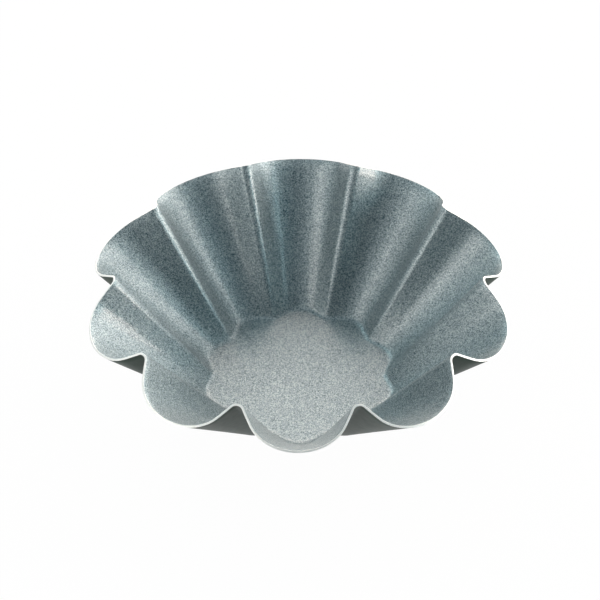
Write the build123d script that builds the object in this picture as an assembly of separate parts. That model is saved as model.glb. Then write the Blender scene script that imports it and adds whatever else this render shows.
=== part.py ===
from build123d import *
from math import atan2, cos, hypot, pi, sin
import os

# Brioche mould: one steel sheet drawn into a flared cup with ten flutes.
# The origin is under the middle of the floor, +Z is up and a flute points to -Y.
# Every radius, depth and height below is taken to the inside face of the sheet, and every
# height is taken from the inside of the floor. In plan a flute is a wide arc outwards, a
# crease is a tight bend inwards, and a flat flank runs from one to the other.

# Driving sizes of the sheet and the press tool
flutes = 10
sheet_thickness = 0.4
rim_height = 25.1
rim_dip = 4.4
rim_radius = 39.7
rim_flute_depth = 5.55
rim_crease_bend = 1.45
rim_flank = 4.0
floor_radius = 18.3
floor_flute_depth = 1.8
floor_crease_bend = 1.15
floor_flank = 2.6
floor_corner_radius = 1.5

# Outlines that guide each wall, from below the floor to above the rim
guide_outlines = 8

# Overrun of the blank and of the trimming tool past the rim
cut_overrun = 2.0

# The rim is highest at the creases and dips over the flutes.
flute_height = rim_height - rim_dip
rim_crease_radius = rim_radius - rim_flute_depth
floor_crease_radius = floor_radius - floor_flute_depth
block_height = rim_height + cut_overrun

half_pitch = pi / flutes
front = -pi / 2


def fluted_outline(flute_radius, crease_radius, crease_bend, flank, height):
    """Closed outline of wide arcs outwards, the flutes, and tight bends inwards, the creases."""
    crease_centre = crease_radius + crease_bend
    across = crease_centre * sin(half_pitch)
    along = crease_centre * cos(half_pitch)
    gap = flute_radius - along
    # The two centres lie both bends apart one way and a flank apart the other way.
    flute_bend = (gap**2 + across**2 - crease_bend**2 - flank**2) / (2 * (gap + crease_bend))
    flute_centre = flute_radius - flute_bend
    # A flank touches both arcs, so it is square to the same line from either centre.
    turn = atan2(across, along - flute_centre) - atan2(flank, flute_bend + crease_bend)

    def on_arc(centre, arc_direction, bend, angle):
        x = centre * cos(arc_direction) + bend * cos(angle)
        y = centre * sin(arc_direction) + bend * sin(angle)
        return Vector(x, y, height)

    edges = []
    for index in range(flutes):
        flute = front + 2 * half_pitch * index
        crease = flute + half_pitch
        following = crease + half_pitch
        start = on_arc(flute_centre, flute, flute_bend, flute - turn)
        crown = on_arc(flute_centre, flute, flute_bend, flute)
        end = on_arc(flute_centre, flute, flute_bend, flute + turn)
        foot = on_arc(crease_centre, crease, -crease_bend, flute + turn)
        crest = on_arc(crease_centre, crease, -crease_bend, crease)
        next_foot = on_arc(crease_centre, crease, -crease_bend, following - turn)
        next_start = on_arc(flute_centre, following, flute_bend, following - turn)
        edges.append(Edge.make_three_point_arc(start, crown, end))
        edges.append(Edge.make_line(end, foot))
        edges.append(Edge.make_three_point_arc(foot, crest, next_foot))
        edges.append(Edge.make_line(next_foot, next_start))
    return Wire(edges)


def level_outline(height, wall):
    """Outline at a height, of the sheet's inside face or a wall's thickness outside it."""
    # Every size changes evenly with height, so that each flute and crease runs straight.
    flute_flare = (rim_radius - floor_radius) / flute_height
    crease_flare = (rim_crease_radius - floor_crease_radius) / rim_height
    bend_flare = (rim_crease_bend - floor_crease_bend) / rim_height
    flank_flare = (rim_flank - floor_flank) / rim_height
    # A wall that leans takes more room across than its thickness.
    return fluted_outline(
        floor_radius + flute_flare * height + wall * hypot(1, flute_flare),
        floor_crease_radius + crease_flare * height + wall * hypot(1, crease_flare),
        floor_crease_bend + bend_flare * height - wall,
        floor_flank + flank_flare * height,
        height,
    )


def form_block(wall):
    """The inside of the mould as a solid, as the punch is, or the outside with a wall added."""
    spans = guide_outlines - 1
    rise = (block_height + wall) / spans
    guides = [level_outline(rise * index - wall, wall) for index in range(guide_outlines)]
    block = Solid.make_loft(guides)
    floor_edges = block.faces().sort_by(Axis.Z)[0].edges()
    return block.fillet(floor_corner_radius + wall, floor_edges)


def trimming_tool():
    """All that the trim leaves: what lies under a cone that meets the sheet nearly square."""
    fall = rim_dip / rim_flute_depth
    apex_height = rim_height + fall * rim_crease_radius
    outer_radius = rim_radius + cut_overrun
    outer_height = apex_height - fall * outer_radius
    profile = Polyline(
        (0, 0, -cut_overrun),
        (0, 0, apex_height),
        (outer_radius, 0, outer_height),
        (outer_radius, 0, -cut_overrun),
        close=True,
    )
    return revolve(make_face(profile), Axis.Z)


def mould_shell():
    """The drawn and trimmed sheet, its underside at zero height."""
    shell = (form_block(sheet_thickness) - form_block(0)) & trimming_tool()
    return Pos(0, 0, sheet_thickness) * shell.solid()


shell = mould_shell()
shell.label = "mould_shell"
os.makedirs("parts", exist_ok=True)
export_step(shell, "parts/mould_shell.step")
box = shell.bounding_box().size
print("size", round(box.X, 2), round(box.Y, 2), round(box.Z, 2))
print("sheet area", round(shell.volume / sheet_thickness), "mm2")
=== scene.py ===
# %% [markdown]
# # A pressed brioche mould
# The mould is one disc of coated steel, pressed into a fluted cup and trimmed. This lesson
# dresses its CAD model: it makes the sheet again as a smooth mesh that catches light as
# pressed metal does, and gives it the finishes of the real one. The CAD model is the
# frame. It says where everything is and how large, and nothing here leaves its box.

import math

import bmesh
import bpy
from mathutils import Color, Matrix, Vector


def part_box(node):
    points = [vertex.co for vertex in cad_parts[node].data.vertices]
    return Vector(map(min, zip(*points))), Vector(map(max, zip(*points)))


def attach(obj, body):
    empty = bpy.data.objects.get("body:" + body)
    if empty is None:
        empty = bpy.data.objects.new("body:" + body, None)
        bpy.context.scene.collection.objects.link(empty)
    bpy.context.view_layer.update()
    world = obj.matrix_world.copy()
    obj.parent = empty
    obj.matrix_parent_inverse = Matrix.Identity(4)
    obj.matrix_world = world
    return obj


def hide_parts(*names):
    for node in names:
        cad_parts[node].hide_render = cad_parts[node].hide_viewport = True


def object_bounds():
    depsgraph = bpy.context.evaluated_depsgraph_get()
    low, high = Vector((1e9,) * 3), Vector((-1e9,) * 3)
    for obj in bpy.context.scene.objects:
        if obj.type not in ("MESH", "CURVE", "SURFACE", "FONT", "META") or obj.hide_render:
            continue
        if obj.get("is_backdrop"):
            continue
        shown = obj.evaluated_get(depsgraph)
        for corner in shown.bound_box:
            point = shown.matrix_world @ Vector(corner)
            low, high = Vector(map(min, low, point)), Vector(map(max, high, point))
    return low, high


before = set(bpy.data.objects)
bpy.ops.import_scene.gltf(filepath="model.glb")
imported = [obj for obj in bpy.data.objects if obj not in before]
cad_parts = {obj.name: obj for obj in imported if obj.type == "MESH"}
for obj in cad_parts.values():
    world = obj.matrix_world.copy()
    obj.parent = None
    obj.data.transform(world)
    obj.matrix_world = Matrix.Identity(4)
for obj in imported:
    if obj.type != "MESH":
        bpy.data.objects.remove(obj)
cad_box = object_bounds()
low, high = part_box("mould_shell")
print("CAD box in metres", [round(v, 5) for v in (*low, *high)])

# %% [markdown]
# ## Sizes
# The mould is drawn in millimetres, as a toolmaker would, and turned into metres by one
# factor. The sizes are those of the sheet's inside face, measured from the inside of the
# floor, because the punch of the press touches that face. Every size changes evenly from
# the floor to the rim, so the walls run straight.

# %% Sizes of the press tool
mm = 0.001
FLUTES = 10
SHEET = 0.4 * mm
RIM_FLUTE_RADIUS = 39.7 * mm
RIM_FLUTE_HEIGHT = 20.7 * mm
RIM_CREASE_RADIUS = 34.15 * mm
RIM_CREASE_HEIGHT = 25.1 * mm
RIM_CREASE_BEND = 1.45 * mm
RIM_FLANK = 4.0 * mm
FLOOR_FLUTE_RADIUS = 18.3 * mm
FLOOR_CREASE_RADIUS = 16.5 * mm
FLOOR_CREASE_BEND = 1.15 * mm
FLOOR_FLANK = 2.6 * mm
HALF_PITCH = math.pi / FLUTES
FRONT = -math.pi / 2


def grown(floor_size, rim_size, height, rim_height=RIM_CREASE_HEIGHT):
    """A size at a height, where it grows evenly from the floor to the rim."""
    return floor_size + (rim_size - floor_size) * height / rim_height


for height in (0, RIM_FLUTE_HEIGHT):
    reach = grown(FLOOR_FLUTE_RADIUS, RIM_FLUTE_RADIUS, height, RIM_FLUTE_HEIGHT)
    print("flutes reach", round(reach / mm, 2), "mm at height", round(height / mm, 2))


# %% [markdown]
# ## A vertex as a compass
# The outline of the press tool is made of arcs and straight lines, and a toolmaker would
# mark it out with a compass and a rule. A lone vertex that is spun about a centre draws an
# arc, as a compass does, and one that is extruded draws a line.


# %% Draw arcs and lines with a vertex
def direction(angle):
    """Unit vector across the mould at an angle."""
    return Vector((math.cos(angle), math.sin(angle), 0))


def deselect_all():
    """Nothing selected, so that an operator acts on what is picked next."""
    if bpy.context.object and bpy.context.object.mode == "EDIT":
        bpy.ops.object.mode_set(mode="OBJECT")
    bpy.ops.object.select_all(action="DESELECT")


def start_vertex(name, place):
    """A mesh of a single vertex, picked and in edit mode, its object at the origin."""
    deselect_all()
    bpy.ops.mesh.primitive_plane_add(size=SHEET, location=(0, 0, 0))
    piece = bpy.context.object
    piece.name = name
    bpy.ops.object.mode_set(mode="EDIT")
    bpy.ops.mesh.merge(type="CENTER")
    bpy.ops.transform.translate(value=place)
    return piece


def draw_arc(steps, angle, centre):
    """Spin the picked vertex about a centre, anticlockwise seen from above."""
    # The spin operator itself turns clockwise for a positive angle.
    bpy.ops.mesh.spin(steps=steps, angle=-angle, center=centre, axis=(0, 0, 1))


def draw_line(steps, step):
    """Extrude the picked vertex by a few equal steps."""
    for _ in range(steps):
        bpy.ops.mesh.extrude_region_move(TRANSFORM_OT_translate={"value": step})


print("the front of the mould lies towards", [round(v, 2) for v in direction(FRONT)])

# %% [markdown]
# ## One flute
# In plan each flute is a wide arc with a flat flank on either side, and each flank runs
# without a corner into a tight bend, the crease. So three arcs and two lines draw a flute
# from crest to crest. The wide arc has the most points, because it is the longest curve and
# would show its corners first.

# %% Draw the outline of one flute
CREASE_STEPS = 5
FLANK_STEPS = 4
FLUTE_STEPS = 24
QUARTER = math.pi / 2


def draw_flute(height):
    """The outline of the front flute at a height, from crest to crest."""
    reach = grown(FLOOR_FLUTE_RADIUS, RIM_FLUTE_RADIUS, height, RIM_FLUTE_HEIGHT)
    crease_reach = grown(FLOOR_CREASE_RADIUS, RIM_CREASE_RADIUS, height)
    crease_bend = grown(FLOOR_CREASE_BEND, RIM_CREASE_BEND, height)
    flank = grown(FLOOR_FLANK, RIM_FLANK, height)
    crease_centre = crease_reach + crease_bend
    across = crease_centre * math.sin(HALF_PITCH)
    along = crease_centre * math.cos(HALF_PITCH)
    gap = reach - along
    bend = (gap**2 + across**2 - crease_bend**2 - flank**2) / (2 * (gap + crease_bend))
    # A flank touches both arcs, so it is square to the same line from either centre.
    turn = math.atan2(across, bend - gap) - math.atan2(flank, bend + crease_bend)
    lift = Vector((0, 0, height + SHEET))
    step = flank / FLANK_STEPS
    outline = start_vertex("outline", crease_reach * direction(FRONT - HALF_PITCH) + lift)
    draw_arc(CREASE_STEPS, HALF_PITCH - turn, crease_centre * direction(FRONT - HALF_PITCH) + lift)
    draw_line(FLANK_STEPS, step * direction(FRONT - turn + QUARTER))
    draw_arc(FLUTE_STEPS, 2 * turn, (reach - bend) * direction(FRONT) + lift)
    draw_line(FLANK_STEPS, step * direction(FRONT + turn + QUARTER))
    draw_arc(CREASE_STEPS, HALF_PITCH - turn, crease_centre * direction(FRONT + HALF_PITCH) + lift)
    bpy.ops.object.mode_set(mode="OBJECT")
    return outline


print("steps from crest to crest", 2 * (CREASE_STEPS + FLANK_STEPS) + FLUTE_STEPS)

# %% [markdown]
# ## The wall of one flute
# Outlines at a row of heights are bridged into the wall of one flute. Two of them, at the
# floor and the rim, would leave faint folds where an arc meets a flank, because the wall
# twists a little on its way up. A row of them follows the twist.

# %% Bridge a row of outlines
WALL_ROWS = 16

outlines = [draw_flute(RIM_CREASE_HEIGHT * row / WALL_ROWS) for row in range(WALL_ROWS + 1)]
deselect_all()
for outline in outlines:
    outline.select_set(True)
bpy.context.view_layer.objects.active = outlines[0]
bpy.ops.object.join()
sheet = bpy.context.object
sheet.name = "pressed_sheet"
sheet.data.name = "pressed_sheet"
outline_points = len(sheet.data.vertices) // len(outlines)
bpy.ops.object.mode_set(mode="EDIT")
bpy.ops.mesh.select_all(action="SELECT")
bpy.ops.mesh.bridge_edge_loops(type="SINGLE")
bpy.ops.object.mode_set(mode="OBJECT")
print("points in an outline", outline_points, "and faces in the wall", len(sheet.data.polygons))

# %% [markdown]
# ## Trim the rim
# A drawn cup leaves the press with a ragged edge, and a ring shears it off nearly square to
# the wall. So the rim dips over each flute and peaks at each crease, all on one flat cone.
# No operator cuts with a cone and leaves even faces. Each column of points is drawn
# together down its own line instead, until the top one lies on the cone.

# %% Draw the wall down to the trim
TRIM_FALL = (RIM_CREASE_HEIGHT - RIM_FLUTE_HEIGHT) / (RIM_FLUTE_RADIUS - RIM_CREASE_RADIUS)
HALVINGS = 40


def above_trim(place):
    """How far a point lies above the cone of the trimmed rim."""
    past_crease = math.hypot(place.x, place.y) - RIM_CREASE_RADIUS
    return place.z - SHEET - RIM_CREASE_HEIGHT + TRIM_FALL * past_crease


def point_on(column, share):
    """The point at a share of the way up a column of points."""
    lower = min(int(share * WALL_ROWS), WALL_ROWS - 1)
    return column[lower].lerp(column[lower + 1], share * WALL_ROWS - lower)


# The rows lie at equal heights and hold their points in the same order.
points = sheet.data.vertices
rows = [
    range(row * outline_points, (row + 1) * outline_points) for row in range(WALL_ROWS + 1)
]
for numbers in zip(*rows):
    column = [points[number].co.copy() for number in numbers]
    kept, cut = 0.0, 1.0
    for _ in range(HALVINGS):
        share = (kept + cut) / 2
        if above_trim(point_on(column, share)) > 0:
            cut = share
        else:
            kept = share
    for row, number in enumerate(numbers):
        points[number].co = point_on(column, kept * row / WALL_ROWS)
rim = [(points[number].co.z - SHEET) / mm for number in rows[-1]]
print("rim from", round(min(rim), 2), "to", round(max(rim), 2), "mm above the floor")

# %% [markdown]
# ## The other nine flutes
# All ten flutes come from the same punch, so the rest are copies turned about the middle
# and joined where they meet.

# %% Copy the flute round
JOIN_DISTANCE = 0.01 * mm
others = FLUTES - 1
bpy.ops.object.mode_set(mode="EDIT")
bpy.ops.mesh.select_all(action="SELECT")
bpy.ops.mesh.spin(
    steps=others, angle=2 * HALF_PITCH * others, dupli=True, center=(0, 0, 0), axis=(0, 0, 1)
)
bpy.ops.mesh.select_all(action="SELECT")
bpy.ops.mesh.remove_doubles(threshold=JOIN_DISTANCE)
bpy.ops.object.mode_set(mode="OBJECT")
print("faces in the wall", len(sheet.data.polygons))

# %% [markdown]
# ## The floor
# The floor is the middle of the same sheet, which the press leaves flat. Its outline is the
# foot of the wall. Rings extruded inward from that foot keep the faces in line with the
# flutes, and the last ring is merged into one point. Where floor and wall meet, the sheet
# bends over the punch's rounded edge, so that edge gets a bevel of a few steps.

# %% Close the floor and round its edge
# The width of each ring, as a share of the ring before it
FLOOR_RINGS = (0.93, 0.7, 0.5)
FLOOR_BEND = 0.68 * mm
FLOOR_BEND_STEPS = 5
# How far up the normal of a face points, of 1, if the face belongs to the floor
FLAT = 0.95


def pick_edges(piece, wanted):
    """Select the edges of a piece for which a test holds, and no others, in edit mode."""
    bpy.context.tool_settings.mesh_select_mode = (False, True, False)
    bpy.ops.object.mode_set(mode="EDIT")
    bpy.ops.mesh.select_all(action="DESELECT")
    mesh = bmesh.from_edit_mesh(piece.data)
    for edge in mesh.edges:
        if wanted(edge):
            edge.select_set(True)
    picked = sum(edge.select for edge in mesh.edges)
    bmesh.update_edit_mesh(piece.data)
    return picked


def at_floor(edge):
    """Whether both ends of an edge lie on the inside of the floor."""
    return all(abs(vertex.co.z - SHEET) < JOIN_DISTANCE for vertex in edge.verts)


foot_edges = pick_edges(sheet, at_floor)
for ring in FLOOR_RINGS:
    bpy.ops.mesh.extrude_region_move()
    bpy.ops.transform.resize(value=(ring, ring, 1), center_override=(0, 0, SHEET))
bpy.ops.mesh.extrude_region_move()
bpy.ops.mesh.merge(type="CENTER")
bpy.ops.mesh.select_all(action="SELECT")
bpy.ops.mesh.normals_make_consistent(inside=False)
bent_edges = pick_edges(
    sheet, lambda edge: at_floor(edge) and any(abs(f.normal.z) < FLAT for f in edge.link_faces)
)
bpy.ops.mesh.bevel(offset=FLOOR_BEND, segments=FLOOR_BEND_STEPS, affect="EDGES")
bpy.ops.object.mode_set(mode="OBJECT")
print("edges at the foot", foot_edges, "and bent", bent_edges)

# %% [markdown]
# ## The thickness of the sheet
# So far the mesh is the face that the punch touched. Solidify adds the steel outside and
# below it, as thick everywhere as the sheet that was pressed. It also tells the three
# surfaces of the real thing apart: the coat inside, the lacquer outside and the bare steel
# at the cut. The inside has to face up first, because the thickness goes the other way.

# %% Face the inside up and add the steel
FINISHES = ("inside_coat", "outside_lacquer", "cut_edge")
OUTSIDE = FINISHES.index("outside_lacquer")
BARE = FINISHES.index("cut_edge")

deselect_all()
sheet.select_set(True)
bpy.context.view_layer.objects.active = sheet
middle = min(sheet.data.polygons, key=lambda face: face.center.xy.length)
if middle.normal.z < 0:
    bpy.ops.object.mode_set(mode="EDIT")
    bpy.ops.mesh.select_all(action="SELECT")
    bpy.ops.mesh.flip_normals()
    bpy.ops.object.mode_set(mode="OBJECT")

for name in FINISHES:
    sheet.data.materials.append(bpy.data.materials.new(name))
steel = sheet.modifiers.new("steel", "SOLIDIFY")
steel.thickness = SHEET
steel.offset = -1
steel.use_even_offset = True
steel.use_quality_normals = True
steel.material_offset = OUTSIDE
steel.material_offset_rim = BARE
bpy.ops.object.modifier_apply(modifier=steel.name)
print("faces with thickness", len(sheet.data.polygons))

# %% [markdown]
# ## The cut edge
# Shears leave two sharp lines along the rim, and tumbling or handling takes the sharpness
# off. A bevel a few hundredths of a millimetre wide does that here. It is what catches the
# light as a fine bright line. The edges to bevel are those where the bare cut meets the
# coat or the lacquer, and the materials already tell them apart.

# %% Ease the cut edge and smooth the faces
EASED = 0.05 * mm
EASED_STEPS = 2
SMOOTH_UNDER = math.radians(35)


def meets_cut(edge):
    """Whether an edge lies between the bare cut and a coated face."""
    bare = [face.material_index == BARE for face in edge.link_faces]
    return any(bare) and not all(bare)


rim_edges = pick_edges(sheet, meets_cut)
bpy.ops.mesh.bevel(offset=EASED, segments=EASED_STEPS, affect="EDGES", material=BARE)
bpy.ops.object.mode_set(mode="OBJECT")
bpy.ops.object.shade_smooth_by_angle(angle=SMOOTH_UNDER)
print("rim edges eased", rim_edges, "and faces in all", len(sheet.data.polygons))

# %% [markdown]
# ## Join the sheet to the model
# The new mesh stands for the CAD sheet and rides on the only body that there is.

# %% Join the model
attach(sheet, "root")
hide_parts("mould_shell")
corners = [vertex.co for vertex in sheet.data.vertices]
for axis, name in enumerate("xyz"):
    reach = [corner[axis] / mm for corner in corners]
    print(name, "from", round(min(reach), 2), "to", round(max(reach), 2), "mm")

# %% [markdown]
# ## Shader maths as plain expressions
# A finish is a little arithmetic on patterns. This class wraps one output of a node, so that
# adding and multiplying are written as in Python, and each adds its Math node. With the
# reflected forms a plain number may stand first.


# %% A number that varies over a surface
class Value:
    """A number that varies over a surface: one output of a node."""

    def __init__(self, finish, socket):
        self.finish = finish
        self.socket = socket

    def maths(self, operation, other):
        """This value and another, put through one Math node."""
        settings = {"operation": operation}
        return self.finish.node("ShaderNodeMath", settings, {0: self, 1: other})

    def __add__(self, other):
        return self.maths("ADD", other)

    def __mul__(self, other):
        return self.maths("MULTIPLY", other)

    __radd__ = __add__
    __rmul__ = __mul__


# %% [markdown]
# ## A kit for finishes
# This class is a material, and its one method, node, makes any node but the Math ones. The
# other methods are the few patterns and surfaces that the finishes of the mould share, so
# that each finish further down fits in a few lines.


# %% A material built from nodes
class Finish:
    """A material that is built from an empty node tree."""

    def __init__(self, material):
        material.use_nodes = True
        self.tree = material.node_tree
        self.tree.nodes.clear()

    def node(self, kind, settings, inputs, output=0):
        """One output of a new node, whose settings come before its values and links."""
        made = self.tree.nodes.new(kind)
        for name, value in settings.items():
            setattr(made, name, value)
        for socket, value in inputs.items():
            if isinstance(value, Value):
                self.tree.links.new(value.socket, made.inputs[socket])
            else:
                made.inputs[socket].default_value = value
        return Value(self, made.outputs[output]) if made.outputs else None

    def place(self):
        """The point of the surface, in the object's own metres."""
        return self.node("ShaderNodeTexCoord", {}, {}, "Object")

    def noise(self, size, detail=2.0):
        """Cloudy noise from 0 to 1 whose spots are about a size across."""
        inputs = {"Vector": self.place(), "Scale": 1 / size, "Detail": detail}
        return self.node("ShaderNodeTexNoise", {}, inputs, "Fac")

    def flakes(self, size):
        """A random number from 0 to 1 for each grain of a size."""
        inputs = {"Vector": self.place(), "Scale": 1 / size}
        cells = self.node("ShaderNodeTexVoronoi", {}, inputs, "Color")
        return self.node("ShaderNodeSeparateColor", {}, {"Color": cells}, "Red")

    def mix(self, share, first, second):
        """A colour between two, by a share."""
        # The node has sockets for each kind of data, and these numbers are the colours'.
        settings = {"data_type": "RGBA"}
        return self.node("ShaderNodeMix", settings, {0: share, 6: first, 7: second}, 2)

    def bump(self, height, distance, strength):
        """The surface's normal, tilted by a pattern of heights."""
        inputs = {"Strength": strength, "Distance": distance, "Height": height}
        return self.node("ShaderNodeBump", {}, inputs, "Normal")

    def glossy(self, base, roughness, metallic, normal, others=()):
        """A painted or metal surface."""
        inputs = {"Base Color": base, "Roughness": roughness}
        inputs.update({"Metallic": metallic, "Normal": normal})
        inputs.update(others)
        return self.node("ShaderNodeBsdfPrincipled", {}, inputs, "BSDF")

    def show(self, shader):
        """Put a shader on the material's surface."""
        self.node("ShaderNodeOutputMaterial", {}, {"Surface": shader})


# %% [markdown]
# ## Colours as a picture shows them
# A picture stores its levels from 0 to 255 on a curve that suits the eye, and nodes count in
# plain amounts of light. Colours are easier to choose as a picture shows them, so they are
# typed that way and turned into light here.

# %% Turn a picture's colour into light
FULL_LEVEL = 255


def colour(red, green, blue):
    """A colour from the 0 to 255 levels of a picture, as the light that nodes use."""
    shown = Color((red / FULL_LEVEL, green / FULL_LEVEL, blue / FULL_LEVEL))
    return (*shown.from_srgb_to_scene_linear(), 1.0)


print("a level of 128 is this much light:", round(colour(128, 128, 128)[0], 3))

# %% [markdown]
# ## The coat inside
# The inside has a blue-grey non-stick coat with fine metal flakes in it, sprayed on and
# baked. From afar it looks like soft metal, and close up it sparkles, because each flake has
# its own tilt and brightness. Single flakes would be millions of faces, and a picture of
# grain would show seams. A pattern of cells in the object's own space has neither fault.
# Each cell's random number is the brightness of a flake, and a fine noise tilts the surface
# so that the flakes catch the lamps. A slower noise varies the polish, as spraying does. The
# flakes lie in a clear binder, and its smooth skin is the shader's own Coat layer, which
# adds a sharper shine over theirs.

# %% Finish the inside
DARK_FLAKE = colour(48, 75, 86)
BRIGHT_FLAKE = colour(190, 201, 203)
FLAKE_SIZE = 0.12 * mm
TILT_SIZE = 0.14 * mm
TILT_DEPTH = 0.08 * mm
TILT_STRENGTH = 0.7
COAT_ROUGHNESS = 0.48
COAT_VARIES = 0.08
COAT_CLOUD = 3 * mm
COAT_METAL = 0.95
CLEAR_SKIN = {"Coat Weight": 0.7, "Coat Roughness": 0.2}

coat = Finish(bpy.data.materials["inside_coat"])
flakes = coat.mix(coat.flakes(FLAKE_SIZE), DARK_FLAKE, BRIGHT_FLAKE)
polish = COAT_ROUGHNESS + COAT_VARIES * coat.noise(COAT_CLOUD)
tilt = coat.bump(coat.noise(TILT_SIZE, detail=0.0), TILT_DEPTH, TILT_STRENGTH)
coat.show(coat.glossy(flakes, polish, COAT_METAL, tilt, CLEAR_SKIN))
print("nodes in the coat", len(coat.tree.nodes))

# %% [markdown]
# ## The lacquer outside
# The outside is the side that nobody looks at. It has one thin coat of dark grey lacquer
# against rust, without flakes, and duller than the inside. Sprayed lacquer dries with a
# faintly rippled skin, so a soft bump goes over it, and the polish varies a little.

# %% Finish the outside
DARK_LACQUER = colour(46, 59, 53)
PALE_LACQUER = colour(59, 74, 67)
SHADE_SIZE = 3 * mm
RIPPLE_SIZE = 0.5 * mm
RIPPLE_DEPTH = 0.03 * mm
RIPPLE_STRENGTH = 0.4
LACQUER_ROUGHNESS = 0.36
LACQUER_VARIES = 0.12
LACQUER_CLOUD = 1.2 * mm
LACQUER_METAL = 0.0
FAINT_SHINE = {"Specular IOR Level": 0.08}

lacquer = Finish(bpy.data.materials["outside_lacquer"])
shade = lacquer.mix(lacquer.noise(SHADE_SIZE), DARK_LACQUER, PALE_LACQUER)
polish = LACQUER_ROUGHNESS + LACQUER_VARIES * lacquer.noise(LACQUER_CLOUD)
ripple = lacquer.bump(lacquer.noise(RIPPLE_SIZE), RIPPLE_DEPTH, RIPPLE_STRENGTH)
lacquer.show(lacquer.glossy(shade, polish, LACQUER_METAL, ripple, FAINT_SHINE))
print("nodes in the lacquer", len(lacquer.tree.nodes))

# %% [markdown]
# ## The bare cut
# The shear that trimmed the rim cut through coat and steel alike, so the edge is bare. It
# shows as a fine bright line all round. Fresh-cut steel has a clean, slightly torn face:
# small dark and light spots in it are enough at this width. Their colour is the steel's own
# pale grey lifted to near white, a painted highlight that keeps the line bright.

# %% Finish the cut edge
# Near white: the steel's own pale grey, lifted by a painted highlight.
DARK_SPOT_PAINTED_SHEEN = colour(232, 233, 231)
LIGHT_SPOT_PAINTED_SHEEN = colour(252, 252, 250)
SPOT_SIZE = 0.2 * mm
TEAR_SIZE = 0.15 * mm
TEAR_DEPTH = 0.02 * mm
TEAR_STRENGTH = 0.4
CUT_ROUGHNESS = 0.35
CUT_VARIES = 0.2
CUT_CLOUD = 0.3 * mm
# Half metal, so the near-white colour also scatters as a painted sheen under any lamp.
CUT_METAL = 0.5

bare = Finish(bpy.data.materials["cut_edge"])
spots_and_painted_sheen = bare.mix(bare.noise(SPOT_SIZE), DARK_SPOT_PAINTED_SHEEN, LIGHT_SPOT_PAINTED_SHEEN)
polish = CUT_ROUGHNESS + CUT_VARIES * bare.noise(CUT_CLOUD)
torn = bare.bump(bare.noise(TEAR_SIZE), TEAR_DEPTH, TEAR_STRENGTH)
bare.show(bare.glossy(spots_and_painted_sheen, polish, CUT_METAL, torn))
print("nodes in the cut edge", len(bare.tree.nodes))

# %% [markdown]
# ## The camera
# The photographer looked down into the mould at about 43 degrees, with a long lens from half
# a metre away. These numbers come from a fit: the rim's wave and the floor's scallops were
# traced in the photograph, and the camera was moved until the model's own rim and floor fell
# on them, to within a pixel. Guessing by eye would have hidden small faults of the shape
# behind small faults of the camera.

# %% Set up the camera
CAMERA_DISTANCE = 483.3 * mm
CAMERA_ELEVATION = math.radians(43.19)
CAMERA_AZIMUTH = math.radians(0.495)
CAMERA_ROLL = math.radians(-0.237)
AIM = Vector((0.16, 0, 20.1)) * mm
LENS_IN_MM = 155.3
NEAREST_SEEN = 10 * mm

turned = Matrix.Rotation(CAMERA_AZIMUTH, 3, "Z")
tipped = Matrix.Rotation(math.pi / 2 - CAMERA_ELEVATION, 3, "X")
rolled = Matrix.Rotation(CAMERA_ROLL, 3, "Z")
looking = turned @ tipped @ rolled
bpy.ops.object.camera_add(
    location=AIM + looking @ Vector((0, 0, CAMERA_DISTANCE)), rotation=looking.to_euler()
)
camera = bpy.context.object
camera.data.lens = LENS_IN_MM
camera.data.clip_start = NEAREST_SEEN
bpy.context.scene.camera = camera
print("camera at", [round(v / mm) for v in camera.location], "mm")

# %% [markdown]
# ## The floor of the studio
# The mould stands on white paper, and the photograph shows that paper as pure white. A
# brighter lamp would do that too, but it would wash out the coat. So the camera, and what
# the metal mirrors, see the paper as plain white, while light that it scatters onto the
# mould comes from ordinary white paper. A small share of the lit paper stays in the view,
# and with it a soft shadow. From below the paper is clear, so that the underside can be
# looked at, and it lies a hair under the mould, so that the two never share one plane.

# %% Lay the floor
STAGE_SIZE = 8.0
PAPER_DROP = 0.02 * mm
SHOWN_WHITE = 0.98
WHITE = (1, 1, 1, 1)
PAPER_SHADE = (0.8, 0.8, 0.8, 1)

bpy.ops.mesh.primitive_plane_add(size=STAGE_SIZE, location=(0, 0, -PAPER_DROP))
ground = bpy.context.object
ground.name = "studio_floor"
ground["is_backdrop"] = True
ground.data.materials.append(bpy.data.materials.new("studio_paper"))
paper = Finish(ground.active_material)
rays = ("Is Camera Ray", "Is Glossy Ray", "Is Transmission Ray")
seen, mirrored, through = (paper.node("ShaderNodeLightPath", {}, {}, ray) for ray in rays)
white = paper.node("ShaderNodeEmission", {}, {"Color": WHITE, "Strength": 1.0})
lit = paper.node("ShaderNodeBsdfDiffuse", {}, {"Color": PAPER_SHADE})
shown = (seen + mirrored + through) * SHOWN_WHITE
upper = paper.node("ShaderNodeMixShader", {}, {0: shown, 1: lit, 2: white})
behind = paper.node("ShaderNodeNewGeometry", {}, {}, "Backfacing")
clear = paper.node("ShaderNodeBsdfTransparent", {}, {})
paper.show(paper.node("ShaderNodeMixShader", {}, {0: behind, 1: upper, 2: clear}))
print("nodes in the paper", len(paper.tree.nodes))

# %% [markdown]
# ## The light
# The photograph itself says where the lamps were. Each flute is a curved mirror, dulled by
# the coat, so every direction around the mould shows up as a light or dark band somewhere
# on the walls. Each lamp below was rendered alone, and its power was set so that their sum
# gives the bands of the photograph. What came out is an ordinary small studio: two large
# soft panels behind and to the right, a smaller one over the back that lights the mould's
# own floor, two small ones on the right, weaker panels on the left and overhead, and a dim
# bluish room. The lamps are few and large, because small ones would put spots on the
# metal that the photograph does not have.

# %% Light the studio
LAMP_DISTANCE = 0.9
WARM = (1, 0.84, 0.75)
SOFT = (1, 0.96, 0.91)
PALE = (0.85, 0.97, 1)
COOL = (0.6, 0.94, 1)
ROOM = (0.68, 0.89, 1, 1)
ROOM_STRENGTH = 0.145
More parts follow.
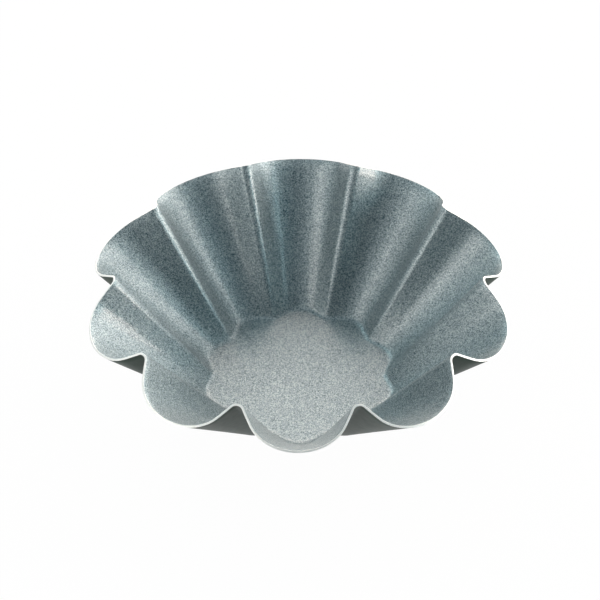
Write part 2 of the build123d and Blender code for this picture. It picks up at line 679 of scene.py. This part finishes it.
# Name, azimuth and elevation in degrees, width and height in metres, power in watts, tint
LAMPS = (
    ("ceiling", 0, 80, 0.7, 0.7, 0.9, PALE),
    ("right_back_panel", 120, 22, 1.04, 0.75, 8.2, SOFT),
    ("back_panel", 180, 20, 1.04, 0.75, 10.8, WARM),
    ("back_top", 180, 45, 0.5, 0.3, 0.88, SOFT),
    ("right_low", 80, 8, 0.48, 0.24, 3.5, WARM),
    ("right_high", 70, 22, 0.45, 0.24, 1.05, COOL),
    ("left_panel", 270, 30, 1.5, 0.47, 2.1, SOFT),
    ("left_front", 305, 22, 0.6, 0.75, 3.3, SOFT),
    ("left_top", 225, 40, 0.34, 0.48, 1.25, COOL),
)


def soft_lamp(name, azimuth, elevation, width, height, power, tint):
    """A flat lamp that faces the mould from an azimuth, 0 at the front, and an elevation."""
    level = direction(FRONT + math.radians(azimuth))
    rise = math.radians(elevation)
    way = math.cos(rise) * level + Vector((0, 0, math.sin(rise)))
    facing = way.to_track_quat("Z", "Y").to_euler()
    bpy.ops.object.light_add(type="AREA", location=LAMP_DISTANCE * way, rotation=facing)
    lamp = bpy.context.object
    lamp.name = name
    lamp.data.shape = "RECTANGLE"
    lamp.data.size = width
    lamp.data.size_y = height
    lamp.data.energy = power
    lamp.data.color = tint


for lamp in LAMPS:
    soft_lamp(*lamp)
world = bpy.data.worlds.new("studio")
bpy.context.scene.world = world
world.use_nodes = True
room = world.node_tree.nodes["Background"].inputs
room["Color"].default_value = ROOM
room["Strength"].default_value = ROOM_STRENGTH
bpy.context.scene.view_settings.view_transform = "Standard"
print("lamps", [lamp[0] for lamp in LAMPS])

# %% [markdown]
# ## The size
# The dressed model has to be as large as the CAD model and no larger. Both boxes are printed
# side by side, in metres.

# %% Print both sizes
dressed_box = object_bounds()
boxes = {"cad": [list(corner) for corner in cad_box]}
boxes["visual"] = [list(corner) for corner in dressed_box]
for name, (lower, upper) in boxes.items():
    print(name, [round(v / mm, 2) for v in lower], [round(v / mm, 2) for v in upper])
